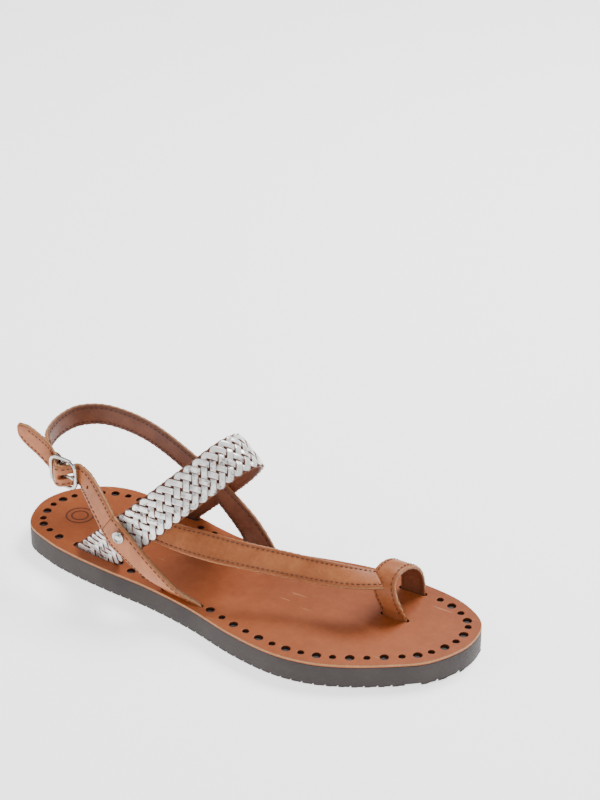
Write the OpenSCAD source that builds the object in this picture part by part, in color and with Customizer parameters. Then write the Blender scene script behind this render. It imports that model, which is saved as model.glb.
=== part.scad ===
// Slingback toe-loop sandal, right foot, millimetres.
// +X points to the toe, +Y to the inner side of the foot, +Z up. z = 0 is the ground.

/* [Sole] */
// Thickness of the rubber outsole
sole_t = 11.5; // [6:0.5:16]
// Thickness of the leather footbed
bed_t = 1.5; // [1:0.5:4]
// Height of the tread ribs
rib_h = 1.0; // [1:0.5:3]
// Spacing of the tread ribs
rib_pitch = 5.5; // [5:0.5:12]
// Width of a tread rib
rib_w = 4.8; // [3:0.1:10]
// Distance of the ring of holes from the edge
ring_in = 6.5; // [5:0.5:9]
// Spacing of the holes along the ring
ring_pitch = 8.6; // [7:0.1:12]
// Radius of the larger holes
hole_large_r = 2.2; // [1.5:0.05:3]
// Radius of the smaller holes
hole_small_r = 1.65; // [1:0.05:2.5]

/* [Straps] */
// Thickness of an outer leather ply
ply_t = 1.4; // [1:0.1:2]
// Thickness of a lining ply
lining_t = 1.0; // [0.6:0.1:1.6]
// Thickness of the plaited instep strap
braid_t = 2.2; // [1.6:0.1:3]

/* [Buckle] */
// Radius of the buckle wire
wire_r = 1.0; // [0.8:0.1:1.4]
// Radial clearance of the prong's eye on the centre bar
eye_gap = 0.06; // [0.02:0.01:0.1]

/* [Hidden] */
q = 0.70711;
top_z = sole_t + bed_t;
pocket_z = 6.5;
buckle_at = [-90, -18, 57];
buckle_turn = -6.5;
stud_x = -48;
stud_z = 40;

// Closed outline of the sole, walked from the heel along the outer side to the toe and back.
outline_pts = [
  [-118.5, -10.5], [-101, -19], [-84, -23], [-60, -26], [-35, -28], [-7, -33], [22, -41],
  [47, -44.5], [67, -42], [84, -35], [100, -25], [115, -13], [124, 3], [126, 16.5],
  [122.5, 29], [112, 37.5], [98, 42.5], [75, 45], [55, 44.5], [36, 41], [14, 35.5],
  [0, 33.7], [-16, 33.5], [-32, 36], [-50, 40], [-83, 44], [-100, 42], [-112, 35],
  [-122.3, 23], [-125.5, 7.5]];

// One point of a smooth curve through b and c.
function smooth(a, b, c, d, t) =
  0.5 * (2 * b + (c - a) * t + (2 * a - 5 * b + 4 * c - d) * t * t
  + (3 * b - a - 3 * c + d) * t * t * t);

// Smooth closed curve through P, n steps to a span.
function closed(P, n) = [for (i = [0 : len(P) - 1]) for (k = [0 : n - 1])
  let (m = len(P))
  smooth(P[(i + m - 1) % m], P[i], P[(i + 1) % m], P[(i + 2) % m], k / n)];

// Smooth open curve through the rows P, n steps to a span.
function row_at(P, i) =
  i < 0 ? 2 * P[0] - P[1]
  : i > len(P) - 1 ? 2 * P[len(P) - 1] - P[len(P) - 2]
  : P[i];
function open_path(P, n) = concat(
  [for (i = [0 : len(P) - 2]) for (k = [0 : n - 1])
    smooth(row_at(P, i - 1), P[i], P[i + 1], row_at(P, i + 2), k / n)],
  [P[len(P) - 1]]);

function unit(v) = v / norm(v);
function mid(r) = [r[0], r[1], r[2]];
function half(r) = [r[3], r[4], r[5]];

edge = closed(outline_pts, 4);
edge_n = len(edge);
function seg(i) = norm(edge[(i + 1) % edge_n] - edge[i % edge_n]);
function run(i) = i == 0 ? 0 : run(i - 1) + seg(i - 1);
lengths = [for (i = [0 : edge_n]) run(i)];
total = lengths[edge_n];
function span_of(s, i = 0) = lengths[i + 1] >= s ? i : span_of(s, i + 1);
// Point on the ring of holes, s along the edge.
function ring_at(s) =
  let (i = span_of(s))
  let (a = edge[i])
  let (b = edge[(i + 1) % edge_n])
  let (f = (s - lengths[i]) / seg(i))
  let (d = unit(b - a))
  a + (b - a) * f + ring_in * [-d[1], d[0]];

// Slots: centre x, y, length, width, turn.
slot_braid_out = [-72.5, -15.7, 32, 6.2, -6];
slot_braid_in = [-61.3, 37.9, 32, 5.6, -3];
slot_quarter = [-14.5, -27, 26.5, 3.8, -7.5];
slot_sling = [-3.5, 29.2, 21.5, 4.0, 0];
slot_loop_in = [80.5, 36.4, 15.5, 4.0, 0];
slot_loop_out = [83.8, 11.9, 15.5, 4.0, 0];
slots = [slot_braid_out, slot_braid_in, slot_quarter, slot_sling, slot_loop_in, slot_loop_out];

module slot_cut(s, z0, z1) {
  translate([s[0], s[1], z0])
    rotate([0, 0, s[4]])
      translate([-s[2] / 2, -s[3] / 2, 0])
        cube([s[2], s[3], z1 - z0]);
}

module sole_plate(h) {
  linear_extrude(height = h)
    polygon(edge);
}

// A hole is left out where it would run into a slot.
function off_slot(p, s) =
  let (d = p - [s[0], s[1]])
  let (c = cos(s[4]))
  let (n = sin(s[4]))
  let (x = abs(d[0] * c + d[1] * n))
  let (y = abs(d[1] * c - d[0] * n))
  x > s[2] / 2 + 3.2 || y > s[3] / 2 + 3.2;
function free(p) = min([for (s = slots) off_slot(p, s) ? 1 : 0]) == 1;

ring_count = floor(total / ring_pitch / 2) * 2;
ring = [for (i = [0 : ring_count - 1]) ring_at((i + 0.3) * total / ring_count)];

// Ply of a strap: rows are centre and half-width vector, a and b the distances of its faces.
module ply(rows, n, side, a, b) {
  R = open_path(rows, n);
  m = len(R);
  N = [for (i = [0 : m - 1])
    let (lo = mid(R[max(0, i - 1)]))
    let (hi = mid(R[min(m - 1, i + 1)]))
    side * unit(cross(hi - lo, half(R[i])))];
  P = [for (i = [0 : m - 1]) for (k = [0 : 3])
    mid(R[i]) + (k == 0 || k == 3 ? -1 : 1) * half(R[i]) + (k < 2 ? a : b) * N[i]];
  // Both faces are split along the same diagonal, so two plies meet without overlap.
  sides = [for (i = [0 : m - 2]) for (k = [0 : 3]) for (h = [0, 1])
    let (k2 = (k + 1) % 4)
    let (j = i * 4)
    k == 2 ? (h == 0 ? [j + 2, j + 3, j + 6] : [j + 3, j + 7, j + 6])
    : h == 0 ? [j + k, j + k2, j + 4 + k2]
    : [j + k, j + 4 + k2, j + 4 + k]];
  e = (m - 1) * 4;
  caps = [[0, 3, 2], [0, 2, 1], [e, e + 1, e + 2], [e, e + 2, e + 3]];
  all_faces = concat(sides, caps);
  flip = side > 0;
  polyhedron(points = P, faces = flip ? [for (f = all_faces) [f[2], f[1], f[0]]] : all_faces);
}

// Instep plait: y, height along the leaning plane, and place across it.
function lean(y, s, t) = [(s - t) * q, y, (s + t) * q, -q * 10, 0, q * 10];
braid_rows = [
  [-72.5, -15.2, pocket_z, -14.1, 1.4, 0],
  [-72.5, -15.2, 10.5, -14.1, 1.4, 0],
  [-72.4, -15.4, 14.2, -13.2, 1.2, 1],
  lean(-19.5, -31, 60.5), lean(-24.2, -13, 60.5),
  lean(-25, 4, 60.5), lean(-21.5, 18, 60.5), lean(-15, 29.5, 60.5), lean(-5, 39.5, 60.3),
  lean(7, 46.5, 60), lean(18, 48.5, 58.5), lean(28, 44, 56), lean(36, 33.5, 54),
  lean(40.5, 19, 52.5), lean(42, 3, 52), lean(41.8, -12, 52), lean(40, -24, 52.2),
  [-61.3, 37.9, 14.2, -13.2, 0.6, 1],
  [-61.3, 37.6, 10.5, -14.1, 0.7, 0],
  [-61.3, 37.6, pocket_z, -14.1, 0.7, 0]];

quarter_rows = [
  [-14.5, -27, pocket_z, 12, -1.6, 0],
  [-14.5, -27, 10.5, 12, -1.6, 0],
  [-14.8, -27.2, 14, 11.6, -1.5, -0.2],
  [-26, -29.2, 19.5, 10.3, -0.6, -0.6],
  [-37.2, -30.5, 28.6, 8.3, -0.3, 1.6],
  [-48, -30.4, 37.3, 6.1, -0.2, 4.8],
  [-56.4, -28.2, 43.2, 3.9, 0, 5.5]];

// Row of the billet at a place in the buckle's own frame, z up by dz, leaning by w.
function at_buckle(x, y, dz, w) = [
  buckle_at[0] + x * cos(buckle_turn) - y * sin(buckle_turn),
  buckle_at[1] + x * sin(buckle_turn) + y * cos(buckle_turn),
  buckle_at[2] + dz, w, 0, 6];

billet_rows = [
  [-56.6, -28.2, 43.4, 3.9, 0, 5.5],
  [-66, -24.5, 52.6, 4.7, -0.5, 4.6],
  [-74.5, -19.2, 56, 2.7, 0, 5.7],
  at_buckle(9.9, 2.8, 0.1, 0.5),
  at_buckle(7.1, 3.1, 0, 0),
  at_buckle(4.3, 0.1, 0, 0),
  at_buckle(1.9, -3.3, 0, 0),
  at_buckle(0, -4, 0, 0),
  at_buckle(-1.9, -3.3, 0, 0),
  at_buckle(-4.3, 0.1, 0, 0),
  at_buckle(-7.1, 3.1, 0.2, 0),
  at_buckle(-9.6, 3.4, 1.6, 0.7),
  [-103, -15.8, 65.5, 3.3, 0, 4.9],
  [-107.4, -19.6, 72.6, 3.9, 0, 4.2],
  [-110.2, -22, 77.6, 3.2, 0, 3.2],
  [-112, -23.5, 81, 0.8, 0, 0.8]];

sling_rows = [
  [-3.5, 29.2, pocket_z, 9.6, 0, 0],
  [-3.5, 29.2, 10.5, 9.6, 0, 0],
  [-3.8, 29.6, 14.2, 9.3, 0, 0.8],
  [-14, 33.5, 22.5, 5.6, 0, 4.8],
  [-31, 36.8, 33.5, 3.5, 0, 5.1],
  [-48, 38.5, 43, 2.4, 0, 5.6],
  [-75, 39.5, 54.8, 1.5, 0, 5.8],
  [-96.5, 34.8, 61, 0.8, 0, 5.9],
  [-109, 25.5, 62.5, 0, 0, 6],
  [-113.5, 13, 61.5, 0, 0, 6],
  [-112.5, 1, 59.2, 0, 0, 6],
  [-107, -6, 58, 0, 0, 6]];

toe_rows = [
  [-38, -20.3, 43.5, -1, 2.2, 6],
  [-22, -19.3, 41.5, -2, 3, 5.9],
  [-4.5, -16.5, 40, -2.7, 4.5, 5.2],
  [13, -12, 38.3, -2.4, 4, 5],
  [29, -5.5, 35.6, -2.2, 4, 4.8],
  [48.5, -0.4, 34.4, -2.2, 4.2, 4.2],
  [64, 3.8, 34, -3.3, 4.9, 2.7],
  [74.6, 7.6, 34.2, -4.8, 4.4, 1.0]];

loop_rows = [
  [80.5, 36.4, pocket_z, 6.5, 0, 0],
  [80.5, 36.4, 10.5, 6.5, 0, 0],
  [80.5, 36.4, 14, 6.5, 0, 0],
  [80.4, 36, 21, 6.5, 0, 0],
  [79.8, 33, 28.5, 6.5, 0, 0],
  [78.6, 26.5, 33.8, 6.5, 0, 0],
  [77.4, 18, 35, 6.5, 0, 0],
  [77.6, 11.5, 32, 6.5, 0, 0],
  [80, 9.4, 26, 6.5, 0, 0],
  [82.4, 10.3, 19.5, 6.5, 0, 0],
  [83.8, 11.8, 14, 6.5, 0, 0],
  [83.8, 11.9, 10.5, 6.5, 0, 0],
  [83.8, 11.9, pocket_z, 6.5, 0, 0]];

module stud_hole() {
  translate([stud_x, -15, stud_z])
    rotate([90, 0, 0])
      cylinder(h = 25, r = 1.3, $fn = 24);
}

// Clear way for the prong through the billet.
module prong_way() {
  translate(buckle_at)
    rotate([0, 0, buckle_turn])
      translate([0.9, -8, -1.4])
        cube([6.1, 16, 2.8]);
}

module outsole() {
  color([0.2, 0.19, 0.18]) difference() {
    union() {
      translate([0, 0, rib_h])
        sole_plate(sole_t - rib_h);
      linear_extrude(height = rib_h + 0.5)
        intersection() {
          polygon(edge);
          union() {
            for (i = [-23 : 23])
              translate([i * rib_pitch - rib_w / 2, -60])
                square([rib_w, 120]);
          }
        }
    }
    for (s = slots)
      slot_cut(s, pocket_z - 0.5, sole_t + 1);
  }
}

module footbed() {
  color([0.55, 0.3, 0.16]) difference() {
    translate([0, 0, sole_t])
      sole_plate(bed_t);
    for (s = slots)
      slot_cut(s, sole_t - 1, top_z + 1);
    for (i = [0 : ring_count - 1])
      if (free(ring[i]))
        translate([ring[i][0], ring[i][1], sole_t - 1])
          cylinder(h = bed_t + 2, r = i % 2 == 0 ? hole_large_r : hole_small_r, $fn = 24);
  }
}

module braid() {
  color([0.8, 0.8, 0.8]) difference() {
    ply(braid_rows, 4, 1, 0, braid_t);
    stud_hole();
  }
}

module braid_lining() {
  color([0.28, 0.13, 0.08]) difference() {
    ply(braid_rows, 4, 1, -lining_t, -0.02);
    stud_hole();
  }
}

module quarter() {
  color([0.5, 0.27, 0.14]) difference() {
    ply(quarter_rows, 5, -1, 0, ply_t);
    stud_hole();
  }
}

module quarter_lining() {
  color([0.28, 0.13, 0.08]) difference() {
    ply(quarter_rows, 5, -1, -lining_t, -0.02);
    stud_hole();
  }
}

module billet() {
  color([0.5, 0.27, 0.14]) difference() {
    ply(billet_rows, 5, -1, 0, ply_t);
    prong_way();
  }
}

module billet_lining() {
  color([0.28, 0.13, 0.08]) difference() {
    ply(billet_rows, 5, -1, -lining_t, -0.02);
    prong_way();
  }
}

module sling() {
  color([0.5, 0.27, 0.14]) ply(sling_rows, 5, 1, 0, ply_t);
}

module sling_lining() {
  color([0.28, 0.13, 0.08]) ply(sling_rows, 5, 1, -lining_t, -0.02);
}

// Elastic tape folded round the centre bar, with a gap for the prong's eye.
module elastic() {
  color([0.2, 0.12, 0.08]) translate(buckle_at) rotate([0, 0, buckle_turn]) difference() {
    union() {
      translate([0, 0, -5.5])
        cylinder(h = 11, r = 1.9, $fn = 32);
      translate([0, 0, -5.5])
        linear_extrude(height = 11)
          polygon([[-0.4, 0.6], [-3, 1.6], [-5, 3.0], [-7, 4.4], [-9, 4.8], [-15, 4.8],
            [-15, 6.2], [-8.6, 6.2], [-6.2, 5.8], [-4, 4.4], [-2, 3.0], [0.4, 1.8]]);
    }
    translate([0, 0, -6])
      cylinder(h = 12, r = wire_r + 0.05, $fn = 32);
    translate([-2.6, -3, -1.5])
      cube([6, 6, 3]);
  }
}

// Outline of the frame: a rectangle with round corners.
module frame_shape(x, z, r) {
  translate([-x + r, -z])
    square([2 * (x - r), 2 * z]);
  translate([-x, -z + r])
    square([2 * x, 2 * (z - r)]);
  for (i = [-1, 1])
    for (k = [-1, 1])
      translate([i * (x - r), k * (z - r)])
        circle(r = r, $fn = 48);
}

module buckle_frame() {
  color([0.72, 0.72, 0.7]) translate(buckle_at) rotate([0, 0, buckle_turn]) union() {
    translate([0, wire_r + 0.1, 0])
      rotate([90, 0, 0])
        linear_extrude(height = 2 * wire_r + 0.2)
          difference() {
            frame_shape(9, 8.5, 3.2);
            frame_shape(7, 6.5, 1.4);
          }
    translate([0, 0, -7.5])
      cylinder(h = 15, r = wire_r, $fn = 32);
  }
}

module buckle_prong() {
  color([0.72, 0.72, 0.7]) translate(buckle_at) rotate([0, 0, buckle_turn]) difference() {
    union() {
      translate([0, 0, -1.1])
        cylinder(h = 2.2, r = 1.7, $fn = 32);
      translate([0.6, -1.25, 0])
        rotate([0, 0, -7])
          rotate([0, 90, 0])
            cylinder(h = 8.6, r = 0.7, $fn = 24);
    }
    translate([0, 0, -2])
      cylinder(h = 4, r = wire_r + eye_gap, $fn = 32);
  }
}

module toe_strap() {
  color([0.5, 0.27, 0.14]) ply(toe_rows, 5, 1, 0, ply_t);
}

module toe_strap_lining() {
  color([0.28, 0.13, 0.08]) ply(toe_rows, 5, 1, -lining_t, -0.02);
}

module toe_loop() {
  color([0.5, 0.27, 0.14]) ply(loop_rows, 4, 1, 0, ply_t);
}

module toe_loop_lining() {
  color([0.28, 0.13, 0.08]) ply(loop_rows, 4, 1, -lining_t, -0.02);
}

// Domed stud with its post through the quarter and the plait.
module stud() {
  color([0.72, 0.72, 0.7]) translate([stud_x, 0, stud_z]) rotate([90, 0, 0]) union() {
    translate([0, 0, 21.9])
      cylinder(h = 10.3, r = 1.2, $fn = 24);
    translate([0, 0, 32.1])
      cylinder(h = 0.8, r = 3.2, $fn = 48);
    translate([0, 0, 32.9])
      cylinder(h = 0.6, r1 = 3.2, r2 = 2.4, $fn = 48);
  }
}

module stud_washer() {
  color([0.72, 0.72, 0.7]) translate([stud_x, 0, stud_z]) rotate([90, 0, 0]) difference() {
    translate([0, 0, 22.1])
      cylinder(h = 0.8, r = 3.2, $fn = 48);
    translate([0, 0, 21.5])
      cylinder(h = 2, r = 1.22, $fn = 24);
  }
}

outsole();
footbed();
braid();
braid_lining();
quarter();
quarter_lining();
billet();
billet_lining();
sling();
sling_lining();
elastic();
buckle_frame();
buckle_prong();
toe_strap();
toe_strap_lining();
toe_loop();
toe_loop_lining();
stud();
stud_washer();
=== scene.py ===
import math

import bmesh
import bpy
import numpy as np
from mathutils import Matrix, Vector


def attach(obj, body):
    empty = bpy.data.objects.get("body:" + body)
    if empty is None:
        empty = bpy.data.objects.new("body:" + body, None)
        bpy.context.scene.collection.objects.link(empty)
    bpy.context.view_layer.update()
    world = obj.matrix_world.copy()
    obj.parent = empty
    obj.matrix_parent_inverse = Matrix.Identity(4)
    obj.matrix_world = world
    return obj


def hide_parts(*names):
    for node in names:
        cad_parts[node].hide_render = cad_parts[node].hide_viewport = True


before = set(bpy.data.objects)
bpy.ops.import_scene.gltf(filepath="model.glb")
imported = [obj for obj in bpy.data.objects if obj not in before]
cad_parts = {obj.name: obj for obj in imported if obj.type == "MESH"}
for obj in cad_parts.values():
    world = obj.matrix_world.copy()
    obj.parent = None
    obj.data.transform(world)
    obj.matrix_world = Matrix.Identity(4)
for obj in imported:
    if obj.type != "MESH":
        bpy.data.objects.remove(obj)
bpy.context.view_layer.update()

RNG = np.random.default_rng(7)
MM = 0.001
ROOT = "sandal"

# ---------------------------------------------------------------- sizes, mm
SOLE_T = 11.5
BED_T = 1.5
TOP_Z = SOLE_T + BED_T
RIB_H = 1.0
RIB_PITCH = 5.5
RIB_W = 4.8
RIB_COUNT = 23
RING_IN = 6.5
RING_PITCH = 8.6
HOLE_LARGE_R = 2.2
HOLE_SMALL_R = 1.65
PLY_T = 1.4
LINING_T = 1.0
STRAP_STEP = 0.9
POCKET_Z = 6.5
TRIM_Z = 8.5
STITCH_IN = 1.9
STITCH_SUNK = 0.12
HEEL_RINGS_AT = (-101, 9)
BUCKLE_AT = np.array([-90.0, -18.0, 57.0])
BUCKLE_TURN = math.radians(-6.5)
STUD = np.array([-48.0, 0.0, 40.0])
Q = 0.70711

OUTLINE = [
    (-118.5, -10.5), (-101, -19), (-84, -23), (-60, -26), (-35, -28), (-7, -33),
    (22, -41), (47, -44.5), (67, -42), (84, -35), (100, -25), (115, -13),
    (124, 3), (126, 16.5), (122.5, 29), (112, 37.5), (98, 42.5), (75, 45),
    (55, 44.5), (36, 41), (14, 35.5), (0, 33.7), (-16, 33.5), (-32, 36),
    (-50, 40), (-83, 44), (-100, 42), (-112, 35), (-122.3, 23), (-125.5, 7.5),
]
# Slots: centre x, y, length, width, turn in degrees.
SLOTS = [
    (-72.5, -15.7, 32, 6.2, -6), (-61.3, 37.9, 32, 5.6, -3),
    (-14.5, -27, 26.5, 3.8, -7.5), (-3.5, 29.2, 21.5, 4.0, 0),
    (80.5, 36.4, 15.5, 4.0, 0), (83.8, 11.9, 15.5, 4.0, 0),
]


def lean(y, s, t):
    return ((s - t) * Q, y, (s + t) * Q, -Q * 10, 0, Q * 10)


# Straps: rows of centre and half-width vector, as in the CAD.
BRAID = [
    (-72.5, -15.2, POCKET_Z, -14.1, 1.4, 0), (-72.5, -15.2, 10.5, -14.1, 1.4, 0),
    (-72.4, -15.4, 14.2, -13.2, 1.2, 1),
    lean(-19.5, -31, 60.5), lean(-24.2, -13, 60.5), lean(-25, 4, 60.5),
    lean(-21.5, 18, 60.5), lean(-15, 29.5, 60.5), lean(-5, 39.5, 60.3),
    lean(7, 46.5, 60), lean(18, 48.5, 58.5), lean(28, 44, 56), lean(36, 33.5, 54),
    lean(40.5, 19, 52.5), lean(42, 3, 52), lean(41.8, -12, 52), lean(40, -24, 52.2),
    (-61.3, 37.9, 14.2, -13.2, 0.6, 1), (-61.3, 37.6, 10.5, -14.1, 0.7, 0),
    (-61.3, 37.6, POCKET_Z, -14.1, 0.7, 0),
]
# The same strap run straight on into the sole, so that the plait stays even down to its slots.
BRAID_RUN = [lean(-14.2, -62, 60.5), lean(-14.8, -50, 60.5), lean(-16.3, -40, 60.5),
             lean(-18.6, -31, 60.5)] + BRAID[4:17] + [
    lean(38.9, -33, 52.3), lean(38, -44, 52.5), lean(37.6, -56, 52.5)]
QUARTER = [
    (-14.5, -27, POCKET_Z, 12, -1.6, 0), (-14.5, -27, 10.5, 12, -1.6, 0),
    (-14.8, -27.2, 14, 11.6, -1.5, -0.2), (-26, -29.2, 19.5, 10.3, -0.6, -0.6),
    (-37.2, -30.5, 28.6, 8.3, -0.3, 1.6), (-48, -30.4, 37.3, 6.1, -0.2, 4.8),
    (-56.4, -28.2, 43.2, 3.9, 0, 5.5),
]


def buckle_point(x, y, z):
    """A point given in the buckle's own axes: x to the toe, y inward, z along its bar."""
    c, s = math.cos(BUCKLE_TURN), math.sin(BUCKLE_TURN)
    return BUCKLE_AT + np.array([x * c - y * s, x * s + y * c, z])


def at_buckle(x, y, dz, w):
    return (*buckle_point(x, y, dz), w, 0, 6)


BILLET = [
    (-56.6, -28.2, 43.4, 3.9, 0, 5.5), (-66, -24.5, 52.6, 4.7, -0.5, 4.6),
    (-74.5, -19.2, 56, 2.7, 0, 5.7),
    at_buckle(9.9, 2.8, 0.1, 0.5), at_buckle(7.1, 3.1, 0, 0), at_buckle(4.3, 0.1, 0, 0),
    at_buckle(1.9, -3.3, 0, 0), at_buckle(0, -4, 0, 0), at_buckle(-1.9, -3.3, 0, 0),
    at_buckle(-4.3, 0.1, 0, 0), at_buckle(-7.1, 3.1, 0.2, 0), at_buckle(-9.6, 3.4, 1.6, 0.7),
    (-103, -15.8, 65.5, 3.3, 0, 4.9), (-107.4, -19.6, 72.6, 3.9, 0, 4.2),
    (-110.2, -22, 77.6, 3.2, 0, 3.2), (-112, -23.5, 81, 0.8, 0, 0.8),
]
SLING = [
    (-3.5, 29.2, POCKET_Z, 9.6, 0, 0), (-3.5, 29.2, 10.5, 9.6, 0, 0),
    (-3.8, 29.6, 14.2, 9.3, 0, 0.8), (-14, 33.5, 22.5, 5.6, 0, 4.8),
    (-31, 36.8, 33.5, 3.5, 0, 5.1), (-48, 38.5, 43, 2.4, 0, 5.6),
    (-75, 39.5, 54.8, 1.5, 0, 5.8), (-96.5, 34.8, 61, 0.8, 0, 5.9),
    (-109, 25.5, 62.5, 0, 0, 6), (-113.5, 13, 61.5, 0, 0, 6),
    (-112.5, 1, 59.2, 0, 0, 6), (-107, -6, 58, 0, 0, 6),
]
TOE = [
    (-38, -20.3, 43.5, -1, 2.2, 6), (-22, -19.3, 41.5, -2, 3, 5.9),
    (-4.5, -16.5, 40, -2.7, 4.5, 5.2), (13, -12, 38.3, -2.4, 4, 5),
    (29, -5.5, 35.6, -2.2, 4, 4.8), (48.5, -0.4, 34.4, -2.2, 4.2, 4.2),
    (64, 3.8, 34, -3.3, 4.9, 2.7), (76.2, 8.7, 33.9, -4.8, 4.5, 0.9),
]
LOOP = [
    (80.5, 36.4, POCKET_Z, 6.5, 0, 0), (80.5, 36.4, 10.5, 6.5, 0, 0),
    (80.5, 36.4, 14, 6.5, 0, 0), (80.4, 36, 21, 6.5, 0, 0),
    (79.8, 33, 28.5, 6.5, 0, 0), (78.6, 26.5, 33.8, 6.5, 0, 0), (77.4, 18, 35, 6.5, 0, 0),
    (77.6, 11.5, 32, 6.5, 0, 0), (80, 9.4, 26, 6.5, 0, 0), (82.4, 10.3, 19.5, 6.5, 0, 0),
    (83.8, 11.8, 14, 6.5, 0, 0), (83.8, 11.9, 10.5, 6.5, 0, 0),
    (83.8, 11.9, POCKET_Z, 6.5, 0, 0),
]


# ---------------------------------------------------------------- materials
class Nodes:
    """A short way to write a node tree."""

    def __init__(self, name):
        self.mat = bpy.data.materials.new(name)
        self.mat.use_nodes = True
        self.tree = self.mat.node_tree
        self.bsdf = self.tree.nodes["Principled BSDF"]

    def add(self, kind, **sockets):
        node = self.tree.nodes.new(kind)
        for key, value in sockets.items():
            name = key.replace("_", " ")
            if isinstance(value, bpy.types.NodeSocket):
                self.tree.links.new(value, node.inputs[name])
            else:
                node.inputs[name].default_value = value
        return node

    def link(self, a, b):
        self.tree.links.new(a, b)

    def object_coords(self):
        return self.add("ShaderNodeTexCoord").outputs["Object"]

    def noise(self, scale, detail=4.0, rough=0.55, vector=None):
        node = self.add("ShaderNodeTexNoise", Scale=scale, Detail=detail, Roughness=rough)
        self.link(vector or self.object_coords(), node.inputs["Vector"])
        return node.outputs["Fac"]

    def ramp(self, fac, stops):
        node = self.add("ShaderNodeValToRGB", Fac=fac)
        el = node.color_ramp.elements
        while len(el) < len(stops):
            el.new(0.5)
        for e, (pos, col) in zip(el, stops):
            e.position = pos
            e.color = (*col, 1.0)
        return node.outputs["Color"]

    def math(self, op, a, b=0.0):
        node = self.tree.nodes.new("ShaderNodeMath")
        node.operation = op
        for i, value in enumerate((a, b)):
            if isinstance(value, bpy.types.NodeSocket):
                self.link(value, node.inputs[i])
            else:
                node.inputs[i].default_value = value
        return node.outputs[0]

    def mix(self, fac, a, b, blend="MIX"):
        node = self.tree.nodes.new("ShaderNodeMix")
        node.data_type = "RGBA"
        node.blend_type = blend
        for sock, value in ((node.inputs[0], fac), (node.inputs[6], a), (node.inputs[7], b)):
            if isinstance(value, bpy.types.NodeSocket):
                self.link(value, sock)
            elif isinstance(value, tuple):
                sock.default_value = (*value, 1.0)
            else:
                sock.default_value = value
        return node.outputs[2]

    def bump(self, height, strength, distance, normal=None):
        node = self.add("ShaderNodeBump", Strength=strength, Distance=distance)
        self.link(height, node.inputs["Height"])
        if normal:
            self.link(normal, node.inputs["Normal"])
        self.link(node.outputs[0], self.bsdf.inputs["Normal"])
        return node.outputs[0]

    def attribute(self, name):
        node = self.tree.nodes.new("ShaderNodeAttribute")
        node.attribute_name = name
        return node.outputs["Fac"]

    def put(self, **sockets):
        for key, value in sockets.items():
            sock = self.bsdf.inputs[key.replace("_", " ")]
            if isinstance(value, bpy.types.NodeSocket):
                self.link(value, sock)
            else:
                sock.default_value = value
        return self.mat


def leather(name, dark, base, light, rough=0.42, grain=0.25, mottle=34.0, edge=None, gloss=0.45,
            scratched=False):
    n = Nodes(name)
    big = n.noise(mottle, 5.0, 0.6)
    col = n.ramp(big, [(0.30, dark), (0.52, base), (0.74, light)])
    worn = n.ramp(n.noise(150.0, 6.0, 0.7), [(0.34, dark), (0.5, base), (0.68, light)])
    col = n.mix(0.38, col, worn)
    fine = n.noise(900.0, 3.0, 0.7)
    col = n.mix(0.16, col, n.ramp(fine, [(0.3, dark), (0.7, light)]))
    if scratched:
        turn = n.add("ShaderNodeMapping", Rotation=(0.0, 0.0, 0.9), Scale=(9.0, 110.0, 9.0))
        n.link(n.object_coords(), turn.inputs["Vector"])
        marks = n.ramp(n.noise(5.0, 1.5, 0.4, turn.outputs[0]), [(0.735, (0, 0, 0)), (0.76, (1, 1, 1))])
        col = n.mix(n.math("MULTIPLY", marks, 0.35), col, (0.62, 0.30, 0.14))
    # Edge colour: the raw cut edges of the straps, and on the footbed a painted highlight line along
    # the top rim.
    if edge:
        raw_edge_and_rim_highlight_noise = n.noise(1500.0, 2.0, 0.6)
        col = n.mix(n.attribute("edge"), col, n.ramp(raw_edge_and_rim_highlight_noise, [(0.3, edge[0]), (0.7, edge[1])]))
    # Painted shade: nearly black on the walls of the footbed's holes and slots.
    col = n.mix(n.attribute("painted_hole_shade"), col, (0.035, 0.016, 0.010))
    col = n.mix(n.math("MULTIPLY", n.attribute("burnish"), 0.55), col, dark)
    pores = n.add("ShaderNodeTexVoronoi", Scale=1300.0)
    n.link(n.object_coords(), pores.inputs["Vector"])
    first = n.bump(pores.outputs["Distance"], grain, 0.00012)
    n.bump(n.noise(240.0, 5.0, 0.6), grain * 0.8, 0.0005, first)
    r = n.math("ADD", n.math("MULTIPLY", n.noise(70.0, 4.0), 0.22), rough - 0.1)
    return n.put(Base_Color=col, Roughness=r, Specular_IOR_Level=gloss,
                 Coat_Weight=0.06 if gloss > 0.3 else 0.0, Coat_Roughness=0.35)


# Tan of the straps' cut edges, also painted as a highlight line along the footbed's top rim.
EDGE_TAN_AND_RIM_HIGHLIGHT = ((0.36, 0.165, 0.065), (0.56, 0.29, 0.13))
STRAP_LEATHER = leather("strap_leather_look", (0.25, 0.07, 0.023), (0.405, 0.131, 0.046),
                        (0.55, 0.205, 0.083), rough=0.42, grain=0.22, edge=EDGE_TAN_AND_RIM_HIGHLIGHT,
                        gloss=0.3)
BED_LEATHER = leather("footbed_leather_look", (0.215, 0.049, 0.013), (0.295, 0.071, 0.019),
                      (0.385, 0.104, 0.032), rough=0.46, grain=0.16, mottle=16.0, edge=EDGE_TAN_AND_RIM_HIGHLIGHT,
                      gloss=0.25, scratched=True)
LINING_LEATHER = leather("lining_leather_look", (0.115, 0.034, 0.015), (0.19, 0.06, 0.027),
                         (0.26, 0.094, 0.045), rough=0.5, grain=0.5, mottle=60.0,
                         edge=((0.2, 0.08, 0.035), (0.36, 0.16, 0.07)))


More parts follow.
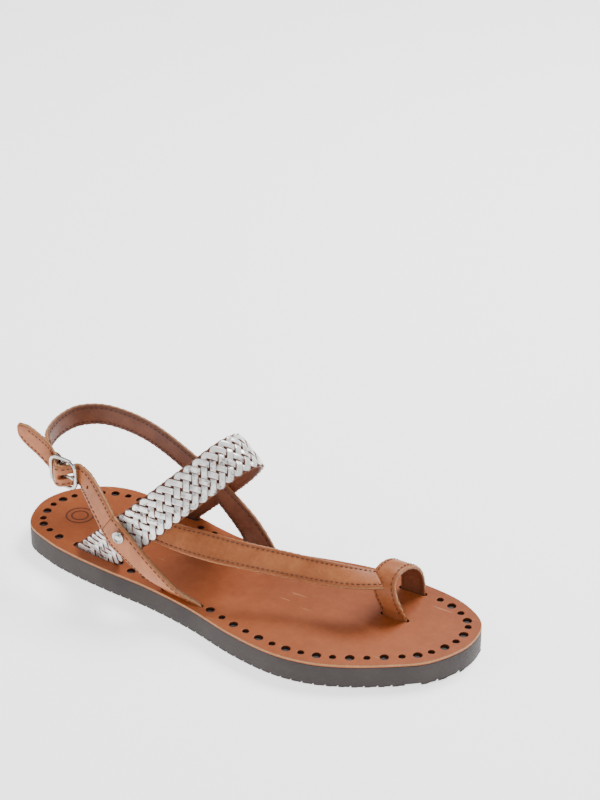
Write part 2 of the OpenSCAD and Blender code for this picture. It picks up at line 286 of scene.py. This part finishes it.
def foil():
    n = Nodes("foil_leather_look")
    crackle = n.noise(420.0, 8.0, 0.72)
    spots = n.ramp(crackle, [(0.43, (0.0, 0.0, 0.0)), (0.49, (1.0, 1.0, 1.0))])
    patch = n.ramp(n.noise(95.0, 4.0, 0.6), [(0.46, (1.0, 1.0, 1.0)), (0.58, (0.0, 0.0, 0.0))])
    keep = n.mix(patch, spots, (1.0, 1.0, 1.0))
    col = n.mix(keep, (0.25, 0.22, 0.20), (0.97, 0.965, 0.95))
    col = n.mix(n.attribute("edge"), col, (0.12, 0.034, 0.013))
    metal = n.math("MULTIPLY", n.math("SUBTRACT", 1.0, n.attribute("edge")), 0.35)
    n.bump(n.noise(700.0, 6.0, 0.7), 0.35, 0.00025)
    return n.put(Base_Color=col, Metallic=metal, Roughness=0.30)


def plain(name, color, rough, metal=0.0, bump=0.0, scale=900.0):
    n = Nodes(name)
    if bump:
        n.bump(n.noise(scale, 4.0, 0.65), bump, 0.0003)
    return n.put(Base_Color=(*color, 1.0), Roughness=rough, Metallic=metal)


def rubber():
    n = Nodes("rubber_look")
    col = n.ramp(n.noise(55.0, 5.0), [(0.3, (0.0205, 0.0132, 0.0116)), (0.7, (0.036, 0.0245, 0.022))])
    stretch = n.add("ShaderNodeMapping", Scale=(1.0, 1.0, 7.0))
    n.link(n.object_coords(), stretch.inputs["Vector"])
    n.bump(n.noise(330.0, 5.0, 0.65, stretch.outputs[0]), 0.45, 0.0005)
    return n.put(Base_Color=col, Roughness=0.62)


FOIL = foil()
RUBBER = rubber()
STEEL = plain("steel_look", (0.52, 0.52, 0.50), 0.27, 1.0, 0.04, 500.0)
THREAD = plain("thread_look", (0.085, 0.03, 0.014), 0.7, 0.0, 0.3, 4000.0)
STAMP = plain("stamp_look", (0.085, 0.022, 0.008), 0.9)


def web():
    n = Nodes("elastic_look")
    band = n.math("LESS_THAN", n.attribute("across"), 0.22)
    col = n.mix(band, (0.16, 0.062, 0.03), (0.03, 0.026, 0.024))
    n.bump(n.noise(2500.0, 3.0), 0.4, 0.0002)
    return n.put(Base_Color=col, Roughness=0.8)


ELASTIC = web()


# ---------------------------------------------------------------- mesh tools
def smooth_rows(P, n, closed=False):
    P = np.array(P, float)
    if closed:
        E = np.vstack([P[-1], P, P[0], P[1]])
        spans = len(P)
    else:
        E = np.vstack([2 * P[0] - P[1], P, 2 * P[-1] - P[-2]])
        spans = len(P) - 1
    out = []
    for i in range(spans):
        a, b, c, d = E[i : i + 4]
        for k in range(n):
            t = k / n
            out.append(0.5 * (2 * b + (c - a) * t + (2 * a - 5 * b + 4 * c - d) * t * t
                              + (3 * b - a - 3 * c + d) * t ** 3))
    if not closed:
        out.append(P[-1])
    return np.array(out)


def mesh_object(name, verts, faces, mat, smooth=True, attrs=None):
    me = bpy.data.meshes.new(name)
    me.from_pydata([tuple(v) for v in np.asarray(verts) * MM], [], faces)
    me.update()
    for key, values in (attrs or {}).items():
        a = me.attributes.new(key, "FLOAT", "POINT")
        a.data.foreach_set("value", np.asarray(values, float))
    ob = bpy.data.objects.new(name, me)
    bpy.context.scene.collection.objects.link(ob)
    me.materials.append(mat)
    if smooth:
        me.polygons.foreach_set("use_smooth", [True] * len(me.polygons))
    return ob


def quads(base, rings, k, closed=False, flip=False):
    """Faces that join each ring of k points to the next, from point number base on."""
    out = []
    for i in range(rings if closed else rings - 1):
        a = base + i * k
        b = base + (i + 1) % rings * k
        for j in range(k):
            j2 = (j + 1) % k
            out.append((a + j, b + j, b + j2, a + j2) if flip else (a + j, a + j2, b + j2, b + j))
    return out


def finish_piece(ob, body, slot, *nodes):
    """Every piece rides on a body and may stand for CAD nodes; its slot argument is not used."""
    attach(ob, body)
    if nodes:
        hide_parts(*nodes)
    return ob


class Ribbon:
    """A strap's middle surface: place(u, v, h) with u in mm along, v from -1 to 1 across."""

    def __init__(self, rows, side):
        R = smooth_rows(rows, 24)
        C = R[:, :3]
        keep = np.r_[True, np.linalg.norm(np.diff(C, axis=0), axis=1) > 1e-6]
        R, C = R[keep], C[keep]
        self.s = np.r_[0, np.cumsum(np.linalg.norm(np.diff(C, axis=0), axis=1))]
        self.length = self.s[-1]
        T = np.gradient(C, self.s, axis=0)
        N = side * np.cross(T, R[:, 3:6])
        N /= np.linalg.norm(N, axis=1)[:, None]
        self.C, self.H, self.N = C, R[:, 3:6], N

    def at(self, u):
        u = np.asarray(u, float)
        pick = lambda A: np.stack([np.interp(u, self.s, A[:, k]) for k in range(3)], -1)
        N = pick(self.N)
        return pick(self.C), pick(self.H), N / np.linalg.norm(N, axis=-1)[..., None]

    def place(self, u, v, h):
        C, H, N = self.at(u)
        return C + H * np.asarray(v)[..., None] + N * np.asarray(h)[..., None]

    def half(self, u):
        return np.linalg.norm(self.at(u)[1], axis=-1)


def strap(name, rib, lo, hi, mat, slot, nodes, groove=2.0, wave=0.0, inner=False):
    """One ply: crowned face, rounded edges, and a pressed line where the stitches run."""
    nu = max(8, int(rib.length / STRAP_STEP))
    us = np.linspace(0.0, rib.length, nu)
    half = np.maximum(rib.half(us), 0.6)
    cols = np.array([-1, -0.985, -0.95, -0.88, -0.8, -0.72, -0.64, -0.5, -0.25, 0,
                     0.25, 0.5, 0.64, 0.72, 0.8, 0.88, 0.95, 0.985, 1])
    nv = len(cols)
    t = hi - lo
    sign = -1.0 if inner else 1.0
    show, back = (lo, hi) if inner else (hi, lo)
    verts, edge, burnish = [], [], []
    phase = RNG.uniform(0, 6, 4)
    for i, u in enumerate(us):
        w = half[i]
        v = cols.copy()
        inset = (1 - np.abs(v)) * w
        drop = 0.45 * t * np.exp(-inset / 0.28)
        crown = 0.10 * (1 - v ** 2)
        line = 0.16 * np.exp(-((inset - groove) / 0.45) ** 2) if groove and w > 4 else 0
        wob = wave * (0.6 * math.sin(u * 0.9 + phase[0]) + 0.4 * math.sin(u * 2.1 + phase[1]))
        ragged = 1 + (0.10 * math.sin(u * 1.7 + phase[2]) + 0.07 * math.sin(u * 4.1 + phase[3])) / w
        face = show + sign * (-drop - line + crown - 0.10 + wob * (1 - v ** 2))
        uu = np.full(nv, u)
        verts.append(rib.place(uu, v * ragged, face))
        edge.append(np.exp(-(inset / 0.3) ** 2))
        burnish.append(np.exp(-((inset - 0.9) / 1.5) ** 2))
        burnish.append(np.zeros(nv))
        verts.append(rib.place(uu, v[::-1] * ragged, np.full(nv, back)))
        edge.append(np.exp(-(inset[::-1] / 0.3) ** 2))
    V = np.concatenate(verts)
    E = np.concatenate(edge)
    ring = 2 * nv
    faces = quads(0, nu, ring, flip=True)
    faces.append(tuple(range(ring)))
    faces.append(tuple(reversed(range((nu - 1) * ring, nu * ring))))
    ob = mesh_object(name, V, faces, mat, attrs={"edge": E, "burnish": np.concatenate(burnish)})
    fix_normals(ob)
    return finish_piece(ob, ROOT, slot, *nodes)


def fix_normals(ob):
    bm = bmesh.new()
    bm.from_mesh(ob.data)
    bmesh.ops.recalc_face_normals(bm, faces=bm.faces)
    bm.to_mesh(ob.data)
    bm.free()


def stitches(name, rib, height, inset, start=0.0, stop=None, sign=1.0):
    """A row of short sunk thread stitches along each edge."""
    pitch, long, r = 2.5, 1.7, 0.26
    stop = rib.length if stop is None else stop
    V, F = [], []
    for sd in (-1, 1):
        for u in np.arange(start, stop, pitch):
            w = float(rib.half(u))
            if w < inset + 1:
                continue
            v = sd * (1 - inset / w)
            base = len(V)
            for du, k in ((-0.5, 0.25), (-0.36, 0.8), (0, 1.0), (0.36, 0.8), (0.5, 0.25)):
                for a in range(6):
                    an = a * math.pi / 3
                    dv = math.cos(an) * r * k / w
                    dh = math.sin(an) * r * k + (0.10 if abs(du) < 0.4 else -0.12)
                    V.append(rib.place(u + du * long, v + dv, height + sign * dh))
            F += quads(base, 5, 6)
            F.append(tuple(base + a for a in range(5, -1, -1)))
            F.append(tuple(base + 24 + a for a in range(6)))
    ob = mesh_object(name, np.array(V), F, THREAD)
    return finish_piece(ob, ROOT, "lining_leather")


# ---------------------------------------------------------------- sole
EDGE = smooth_rows(OUTLINE, 10, closed=True)


def inset_edge(d):
    T = np.roll(EDGE, -1, 0) - np.roll(EDGE, 1, 0)
    T /= np.linalg.norm(T, axis=1)[:, None]
    return EDGE + d * np.c_[-T[:, 1], T[:, 0]]


def grown(loops, bevel):
    """The bevel widens a plate by its depth, so the outline goes in and the holes go out."""
    out = [inset_edge(bevel) if loops[0] is EDGE else loops[0]]
    for pts in loops[1:]:
        P = np.array(pts)
        mid = P.mean(0)
        d = P - mid
        out.append(mid + d * (1 + bevel / np.linalg.norm(d, axis=1))[:, None])
    return out


def plate(name, loops, z0, z1, bevel, mat):
    """A flat plate from a 2D curve with holes; every rim is rounded by the bevel."""
    cu = bpy.data.curves.new(name, "CURVE")
    cu.dimensions = "2D"
    cu.fill_mode = "BOTH"
    cu.extrude = ((z1 - z0) / 2 - bevel) * MM
    cu.bevel_depth = bevel * MM
    cu.bevel_resolution = 2
    for pts in grown(loops, bevel):
        sp = cu.splines.new("POLY")
        sp.points.add(len(pts) - 1)
        sp.points.foreach_set("co", np.c_[np.asarray(pts) * MM, np.zeros(len(pts)),
                                          np.ones(len(pts))].ravel())
        sp.use_cyclic_u = True
    tmp = bpy.data.objects.new(name + "_tmp", cu)
    bpy.context.scene.collection.objects.link(tmp)
    bpy.context.view_layer.update()
    me = bpy.data.meshes.new_from_object(tmp.evaluated_get(bpy.context.evaluated_depsgraph_get()))
    bpy.data.objects.remove(tmp)
    me.transform(Matrix.Translation((0, 0, (z0 + z1) / 2 * MM)))
    ob = bpy.data.objects.new(name, me)
    bpy.context.scene.collection.objects.link(ob)
    me.materials.clear()
    me.materials.append(mat)
    return ob


def off_slot(p, s):
    d = p - np.array(s[:2])
    c, n = math.cos(math.radians(s[4])), math.sin(math.radians(s[4]))
    x, y = abs(d[0] * c + d[1] * n), abs(d[1] * c - d[0] * n)
    return x > s[2] / 2 + 3.2 or y > s[3] / 2 + 3.2


def slot_loop(s):
    c, n = math.cos(math.radians(s[4])), math.sin(math.radians(s[4]))
    pts = []
    r = s[3] / 2 * 0.8
    for cx, a0 in ((s[2] / 2 - r, -90), (-s[2] / 2 + r, 90)):
        for a in range(0, 181, 30):
            an = math.radians(a0 + a)
            x, y = cx + r * math.cos(an), r * math.sin(an)
            pts.append((s[0] + x * c - y * n, s[1] + x * n + y * c))
    return pts


def ring_holes():
    seg = np.linalg.norm(np.roll(EDGE, -1, 0) - EDGE, axis=1)
    run = np.r_[0, np.cumsum(seg)]
    ins = inset_edge(RING_IN)
    ins = np.vstack([ins, ins[:1]])
    count = int(run[-1] / RING_PITCH / 2) * 2
    for i in range(count):
        s = (i + 0.3) * run[-1] / count
        p = np.array([np.interp(s, run, ins[:, 0]), np.interp(s, run, ins[:, 1])])
        if all(off_slot(p, sl) for sl in SLOTS):
            yield p, HOLE_LARGE_R if i % 2 == 0 else HOLE_SMALL_R


loops = [EDGE]
for centre, radius in ring_holes():
    wob = RNG.uniform(0, 6)
    turn = np.linspace(0, 2 * math.pi, 28, endpoint=False)
    loops.append([centre + radius * (1 + 0.03 * math.sin(2 * a + wob))
                  * np.array([math.cos(a), math.sin(a)]) for a in turn])
loops += [slot_loop(s) for s in SLOTS]
footbed = plate("footbed_leather_top", loops, SOLE_T, TOP_Z, 0.35, BED_LEATHER)
co = np.empty(len(footbed.data.vertices) * 3)
footbed.data.vertices.foreach_get("co", co)
co = co.reshape(-1, 3) / MM
rim_gap = np.array([np.min(np.hypot(*(EDGE - p).T)) for p in co[:, :2]])
below = co[:, 2] < TOP_Z - 0.12
# Painted highlight: a thin light line round the footbed's top rim, in the edge colour.
footbed.data.attributes.new("edge", "FLOAT", "POINT").data.foreach_set(
    "value", np.where((rim_gap < 0.3) & (co[:, 2] > TOP_Z - 0.5), 1.0, 0.0))
# Painted shade: the footbed's faces below the top and away from the outer rim, that is the hole and
# slot walls and the underside, go nearly black.
footbed.data.attributes.new("painted_hole_shade", "FLOAT", "POINT").data.foreach_set(
    "value", ((rim_gap > 1.5) & below).astype(float) * 0.8)
finish_piece(footbed, ROOT, "footbed_leather", "footbed")

# Outsole: the body with a rounded rim, and one rib per bar of the tread.
body = plate("outsole_body", [EDGE], RIB_H, SOLE_T, 0.25, RUBBER)
finish_piece(body, ROOT, "rubber", "outsole")


def rib_mesh():
    """One rounded bar across the sole for each rib, cut to the outline."""
    V, F = [], []
    closed = np.vstack([EDGE, EDGE[:1]])

    def crossings(x):
        ys = []
        for a, b in zip(closed[:-1], closed[1:]):
            if (a[0] - x) * (b[0] - x) < 0:
                ys.append(a[1] + (b[1] - a[1]) * (x - a[0]) / (b[0] - a[0]))
        return (min(ys), max(ys)) if len(ys) >= 2 else None

    lim = (EDGE[:, 0].min() + 0.05, EDGE[:, 0].max() - 0.05)
    for i in range(-RIB_COUNT, RIB_COUNT + 1):
        x0, x1 = max(i * RIB_PITCH - RIB_W / 2, lim[0]), min(i * RIB_PITCH + RIB_W / 2, lim[1])
        if x1 - x0 < 0.6:
            continue
        xs = np.linspace(x0, x1, 6)
        ends = [crossings(x) for x in xs]
        if any(e is None for e in ends):
            continue
        near = [(x, e[0]) for x, e in zip(xs, ends)]
        far = [(x, e[1]) for x, e in zip(xs[::-1], ends[::-1])]
        loop = np.array(near + far)
        mid = loop.mean(0)
        base = len(V)
        n = len(loop)
        for z, k in ((RIB_H + 0.3, 0.0), (0.35, 0.0), (0.0, 0.35)):
            d = mid - loop
            pull = np.sign(d) * np.minimum(np.abs(d), k)
            V += [(*p, z) for p in loop + pull]
        F += quads(base, 3, n)
        F.append(tuple(base + 2 * n + k for k in range(n)))
        F.append(tuple(base + k for k in range(n - 1, -1, -1)))
    ob = mesh_object("outsole_tread_ribs", V, F, RUBBER, smooth=False)
    fix_normals(ob)
    return ob


finish_piece(rib_mesh(), ROOT, "rubber")


# A plain ornament of two rings on the heel.
def pressed_ring(name, centre, radius, tube):
    V = []
    m, k = 72, 8
    for i in range(m):
        a = 2 * math.pi * i / m
        for j in range(k):
            b = 2 * math.pi * j / k
            rr = radius + tube * math.cos(b)
            V.append((centre[0] + rr * math.cos(a), centre[1] + rr * math.sin(a),
                      TOP_Z + 0.04 + 0.06 * math.sin(b)))
    F = quads(0, m, k, closed=True, flip=True)
    return finish_piece(mesh_object(name, V, F, STAMP), ROOT, "footbed_leather")


pressed_ring("heel_ring_outer", HEEL_RINGS_AT, 7.0, 0.45)
pressed_ring("heel_ring_inner", HEEL_RINGS_AT, 4.2, 0.45)

# ---------------------------------------------------------------- leather straps
rib_quarter = Ribbon(QUARTER, -1)
rib_billet = Ribbon(BILLET, -1)
rib_sling = Ribbon(SLING, 1)
rib_toe = Ribbon(TOE, 1)
rib_loop = Ribbon(LOOP, 1)
rib_braid = Ribbon(BRAID_RUN, 1)


def two_ply(name, rib):
    """The outer leather and the lining of one strap, in place of its two CAD nodes."""
    outer = strap(name + "_leather", rib, 0.0, PLY_T, STRAP_LEATHER, "strap_leather", [name],
                  groove=STITCH_IN)
    lining = strap(name + "_lining_leather", rib, -LINING_T, -0.02, LINING_LEATHER,
                   "lining_leather", [name + "_lining"], groove=STITCH_IN, inner=True)
    return outer, lining


two_ply("quarter", rib_quarter)
billet_pair = two_ply("billet", rib_billet)
two_ply("sling", rib_sling)
two_ply("toe_strap", rib_toe)
two_ply("toe_loop", rib_loop)


def trim_low(ob, z_mm):
    """Cuts ob off level at z_mm and closes the ends, which lie inside the sole."""
    bm = bmesh.new()
    bm.from_mesh(ob.data)
    geom = bm.verts[:] + bm.edges[:] + bm.faces[:]
    out = bmesh.ops.bisect_plane(bm, geom=geom, plane_co=(0, 0, z_mm * MM), plane_no=(0, 0, -1),
                                 clear_outer=True)
    bmesh.ops.holes_fill(bm, edges=[g for g in out["geom_cut"] if isinstance(g, bmesh.types.BMEdge)])
    bm.to_mesh(ob.data)
    bm.free()


def cut(ob, verts_mm, name):
    """Takes a convex block out of ob."""
    bm = bmesh.new()
    for v in verts_mm:
        bm.verts.new(Vector(v) * MM)
    bmesh.ops.convex_hull(bm, input=bm.verts)
    me = bpy.data.meshes.new(name)
    bm.to_mesh(me)
    bm.free()
    tool = bpy.data.objects.new(name, me)
    bpy.context.scene.collection.objects.link(tool)
    mod = ob.modifiers.new("cut", "BOOLEAN")
    mod.operation = "DIFFERENCE"
    mod.solver = "EXACT"
    mod.object = tool
    bpy.context.view_layer.update()
    new = bpy.data.meshes.new_from_object(ob.evaluated_get(bpy.context.evaluated_depsgraph_get()))
    ob.modifiers.clear()
    ob.data = new
    bpy.data.objects.remove(tool)


prong_block = [buckle_point(x, y, z) for x in (0.9, 6.6) for y in (-8, 8) for z in (-1.3, 1.3)]


def round_block(rib, u, v, r):
    C, H, N = rib.at(u)
    C = C + H * v
    a = H / np.linalg.norm(H)
    b = np.cross(N, a)
    return [C + r * (a * math.cos(t) + b * math.sin(t)) + N * h
            for t in np.linspace(0, 2 * math.pi, 16, endpoint=False) for h in (-3, 3)]


for piece in billet_pair:
    cut(piece, prong_block, "prong_cut")
    cut(piece, round_block(rib_billet, 21.5, 0.0, 0.95), "hole_cut")

stitches("quarter_stitching", rib_quarter, PLY_T - STITCH_SUNK, STITCH_IN, start=11)
stitches("billet_stitching", rib_billet, PLY_T - STITCH_SUNK, STITCH_IN, start=1.2,
         stop=rib_billet.length - 6)
stitches("sling_stitching", rib_sling, PLY_T - STITCH_SUNK, STITCH_IN, start=10)
stitches("sling_lining_stitching", rib_sling, -LINING_T + STITCH_SUNK, STITCH_IN, start=10,
         sign=-1.0)
stitches("toe_strap_stitching", rib_toe, PLY_T - STITCH_SUNK, STITCH_IN, start=1)
stitches("toe_loop_stitching", rib_loop, PLY_T - STITCH_SUNK, STITCH_IN, start=10,
         stop=rib_loop.length - 10)

# ---------------------------------------------------------------- plait
trim_low(strap("braid_lining_leather", rib_braid, -LINING_T, 0.0, LINING_LEATHER, "lining_leather",
               ["braid_lining"], inner=True, groove=2.4, wave=0.12), TRIM_Z)


def plait():
    """Five flat strands, over one and under one, each turning back at the edges."""
    strands, half_w, period = 5, 10.0, 27.0
    reach = 8.5
    flat, thick, amp = 3.8, 0.60, 0.40
    level = np.array([0, 1, -1, 1, -1, 0], float)
    us = np.arange(0.0, rib_braid.length, 0.6)
    V, F, E = [], [], []
    section = [(-0.5, 0.0), (-0.45, 0.5), (-0.38, 0.86), (-0.35, 0.97), (-0.2, 1.0),
               (0, 1.0), (0.2, 1.0), (0.35, 0.97), (0.38, 0.86), (0.45, 0.5), (0.5, 0.0),
               (0.3, -0.15), (-0.3, -0.15)]
    brown = [1, 1, 1, 0, 0, 0, 0, 0, 1, 1, 1, 1, 1]
    k = len(section)
    for st in range(strands):
        f = (us / period + st / strands) % 1.0
        g = np.where(f < 0.5, f, f - 0.5)
        tri = np.where(f < 0.5, -1 + 4 * f, 3 - 4 * f)
        v = reach * np.arcsin(0.985 * np.sin(tri * math.pi / 2)) / math.asin(0.985)
        m = np.clip(g * 2 * strands, 0, strands)
        i0 = np.clip(np.floor(m).astype(int), 0, strands - 1)
        e = m - i0
        e = np.clip((e - 0.5) * 1.5 + 0.5, 0, 1)
        e = e * e * (3 - 2 * e)
        h = amp * (level[i0] * (1 - e) + level[i0 + 1] * e)
        dv = np.gradient(v, us)
        norm = np.hypot(1, dv)
        pu, pv = -dv / norm, 1 / norm
        base = len(V)
        for i, u in enumerate(us):
            for (a, b) in section:
                uu = u + pu[i] * a * flat
                vv = (v[i] + pv[i] * a * flat) / half_w
                V.append(rib_braid.place(uu, vv, 0.55 + amp + h[i] * 1.0 + (b - 0.5) * thick))
            E += brown
        n = len(us)
        F += quads(base, n, k)
        F.append(tuple(base + j for j in range(k)))
        F.append(tuple(base + (n - 1) * k + j for j in range(k - 1, -1, -1)))
    ob = mesh_object("braid_strands", np.array(V), F, FOIL, attrs={"edge": E})
    fix_normals(ob)
    trim_low(ob, TRIM_Z)
    return finish_piece(ob, ROOT, "foil_leather", "braid")


plait()


# ---------------------------------------------------------------- metal
def sweep(path, radius, closed, ring=14):
    """A round bar along a path of points, in mm."""
    P = np.array(path, float)
    n = len(P)
    T = (np.roll(P, -1, 0) - np.roll(P, 1, 0)) if closed else np.gradient(P, axis=0)
    T /= np.linalg.norm(T, axis=1)[:, None]
    ref = np.array([0.0, 1.0, 0.0])
    V, F = [], []
    rad = np.broadcast_to(radius, (n,))
    for i in range(n):
        a = np.cross(T[i], ref)
        a /= np.linalg.norm(a)
        b = np.cross(T[i], a)
        for j in range(ring):
            t = 2 * math.pi * j / ring
            V.append(P[i] + rad[i] * (a * math.cos(t) + b * math.sin(t)))
    F += quads(0, n, ring, closed)
    if not closed:
        F.append(tuple(range(ring)))
        F.append(tuple(range((n - 1) * ring, n * ring))[::-1])
    return V, F


def metal(name, V, F, body, *nodes):
    V = np.array([buckle_point(*v) for v in V])
    ob = mesh_object(name, V, F, STEEL)
    fix_normals(ob)
    return finish_piece(ob, body, "steel", *nodes)


frame_path = []
for cx, cz, a0 in ((4.2, 3.7, 0), (-4.2, 3.7, 90), (-4.2, -3.7, 180), (4.2, -3.7, 270)):
    for a in range(0, 91, 10):
        t = math.radians(a0 + a)
        frame_path.append((cx + 3.8 * math.cos(t), 0, cz + 3.8 * math.sin(t)))
V, F = sweep(frame_path, 1.05, True)
metal("buckle_frame_wire", V, F, ROOT, "buckle_frame")
V, F = sweep([(0, 0, z) for z in np.linspace(-7.2, 7.2, 12)], 0.99, False, 20)
metal("buckle_centre_bar", V, F, ROOT)


def prong():
    """The eye round the centre bar, and the tapered wire that rests on the frame."""
    eye_r, steps = 1.38, 40
    section = [(-0.31, -0.9), (-0.31, 0.9), (0.1, 1.05), (0.31, 0.8), (0.31, -0.8), (0.1, -1.05)]
    V = []
    for t in np.linspace(0, 2 * math.pi, steps, endpoint=False):
        d = np.array([math.cos(t), math.sin(t), 0])
        V += [d * (eye_r + dr) + np.array([0, 0, dz]) for dr, dz in section]
    F = quads(0, steps, len(section), closed=True, flip=True)
    start, end = np.array([0.8, -1.3, 0]), np.array([9.1, -2.3, 0])
    ts = np.array([0, 0.1, 0.5, 0.85, 0.94, 0.985, 1.0])
    rs = np.array([0.75, 0.75, 0.72, 0.68, 0.6, 0.4, 0.12])
    V2, F2 = sweep([start + (end - start) * t for t in ts], rs, False, 14)
    base = len(V)
    V += V2
    F += [tuple(base + i for i in f) for f in F2]
    return metal("buckle_prong_wire", V, F, "prong", "buckle_prong")


prong()


def lathe(profile, m=48):
    """Profile of (radius, out) turned about the stud's axis, which points out of the strap."""
    V, F = [], []
    for i in range(m):
        t = 2 * math.pi * i / m
        for r, out in profile:
            V.append((STUD[0] + r * math.cos(t), -out, STUD[2] + r * math.sin(t)))
    k = len(profile)
    for i in range(m):
        for j in range(k - 1):
            F.append((i * k + j, ((i + 1) % m) * k + j, ((i + 1) % m) * k + j + 1, i * k + j + 1))
    return V, F


V, F = lathe([(0.001, 22.0), (1.2, 22.0), (1.2, 31.9), (3.1, 31.9), (3.25, 32.2), (3.2, 32.7),
              (2.95, 33.05), (2.6, 33.0), (2.45, 32.5), (1.95, 32.5), (1.8, 33.0), (1.2, 33.2),
              (0.6, 33.3), (0.001, 33.35)])
stud = mesh_object("stud_cap_and_post", V, F, STEEL)
fix_normals(stud)
finish_piece(stud, ROOT, "steel", "stud")
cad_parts["stud_washer"].data.materials.clear()
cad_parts["stud_washer"].data.materials.append(STEEL)

# ---------------------------------------------------------------- elastic tape
tape = [(-15, 5.5), (-12, 5.5), (-9, 5.5), (-7.4, 5.2), (-5.6, 4.4), (-3.6, 3.0), (-1.5, 1.55)]
tape += [(1.5 * math.cos(math.radians(a)), 1.5 * math.sin(math.radians(a)))
         for a in (100, 75, 45, 15, -15, -45, -75, -105, -135)]
bands = ((-5.5, -1.7, "elastic_lower"), (1.7, 5.5, "elastic_upper"), (-1.9, 1.9, "elastic_middle"))
for z0, z1, nm in bands:
    pts = tape if nm != "elastic_middle" else tape[:5]
    fine = smooth_rows(pts, 10)
    T = np.gradient(fine, axis=0)
    T /= np.linalg.norm(T, axis=1)[:, None]
    N = np.c_[-T[:, 1], T[:, 0]]
    V, A = [], []
    run = np.r_[0, np.cumsum(np.linalg.norm(np.diff(fine, axis=0), axis=1))]
    for p, nn, s in zip(fine, N, run):
        ripple = 0.06 * math.cos(2 * math.pi * s / 1.1)
        for z, k in ((z0, -1), (z0, 1), (z1, 1), (z1, -1)):
            o = p + nn * k * (0.33 + ripple)
            V.append(buckle_point(o[0], o[1], z))
            A.append(abs(z) / 5.5 if nm != "elastic_middle" else 0.0)
    F = quads(0, len(fine), 4)
    F += [(0, 1, 2, 3), tuple(len(V) - 4 + j for j in (3, 2, 1, 0))]
    ob = mesh_object(nm, np.array(V), F, ELASTIC, smooth=False, attrs={"across": A})
    fix_normals(ob)
    finish_piece(ob, ROOT, "elastic_web", *(["elastic"] if nm == "elastic_middle" else []))

# ---------------------------------------------------------------- floor, light, camera
floor_nodes = Nodes("floor_look")
floor_mat = floor_nodes.put(Base_Color=(0.95, 0.95, 0.96, 1.0), Roughness=0.6,
                            Emission_Color=(1.0, 1.0, 1.0, 1.0), Emission_Strength=1.6)
floor = mesh_object("floor", [(-4000, -4000, 0), (4000, -4000, 0), (4000, 4000, 0), (-4000, 4000, 0)],
                    [(0, 1, 2, 3)], floor_mat, smooth=False)

world = bpy.data.worlds.new("soft_world")
bpy.context.scene.world = world
world.use_nodes = True
world.node_tree.nodes["Background"].inputs[0].default_value = (1.0, 1.0, 1.0, 1.0)
world.node_tree.nodes["Background"].inputs[1].default_value = 0.32


def area(name, at, to, size, power):
    la = bpy.data.lights.new(name, "AREA")
    la.shape = "RECTANGLE"
    la.size, la.size_y = size
    la.energy = power
    ob = bpy.data.objects.new(name, la)
    bpy.context.scene.collection.objects.link(ob)
    ob.location = at
    ob.rotation_euler = (Vector(to) - Vector(at)).to_track_quat("-Z", "Y").to_euler()


area("key_light", (0.15, 0.7, 0.95), (0, 0, 0.02), (0.6, 0.45), 20.0)
area("side_light", (-0.9, -0.5, 0.8), (0, 0, 0.03), (0.8, 0.8), 6.0)
area("front_light", (0.9, -0.9, 0.7), (0, 0, 0.03), (0.9, 0.7), 5.0)

cam = bpy.data.cameras.new("camera")
cam.lens = 117.0
cam.sensor_width = 36.0
cam.dof.use_dof = False
camera = bpy.data.objects.new("camera", cam)
bpy.context.scene.collection.objects.link(camera)
camera.location = (0.5784, -0.910, 0.7385)
camera.rotation_euler = Vector((-0.4428, 0.7443, -0.5)).to_track_quat("-Z", "Y").to_euler()
bpy.context.scene.camera = camera
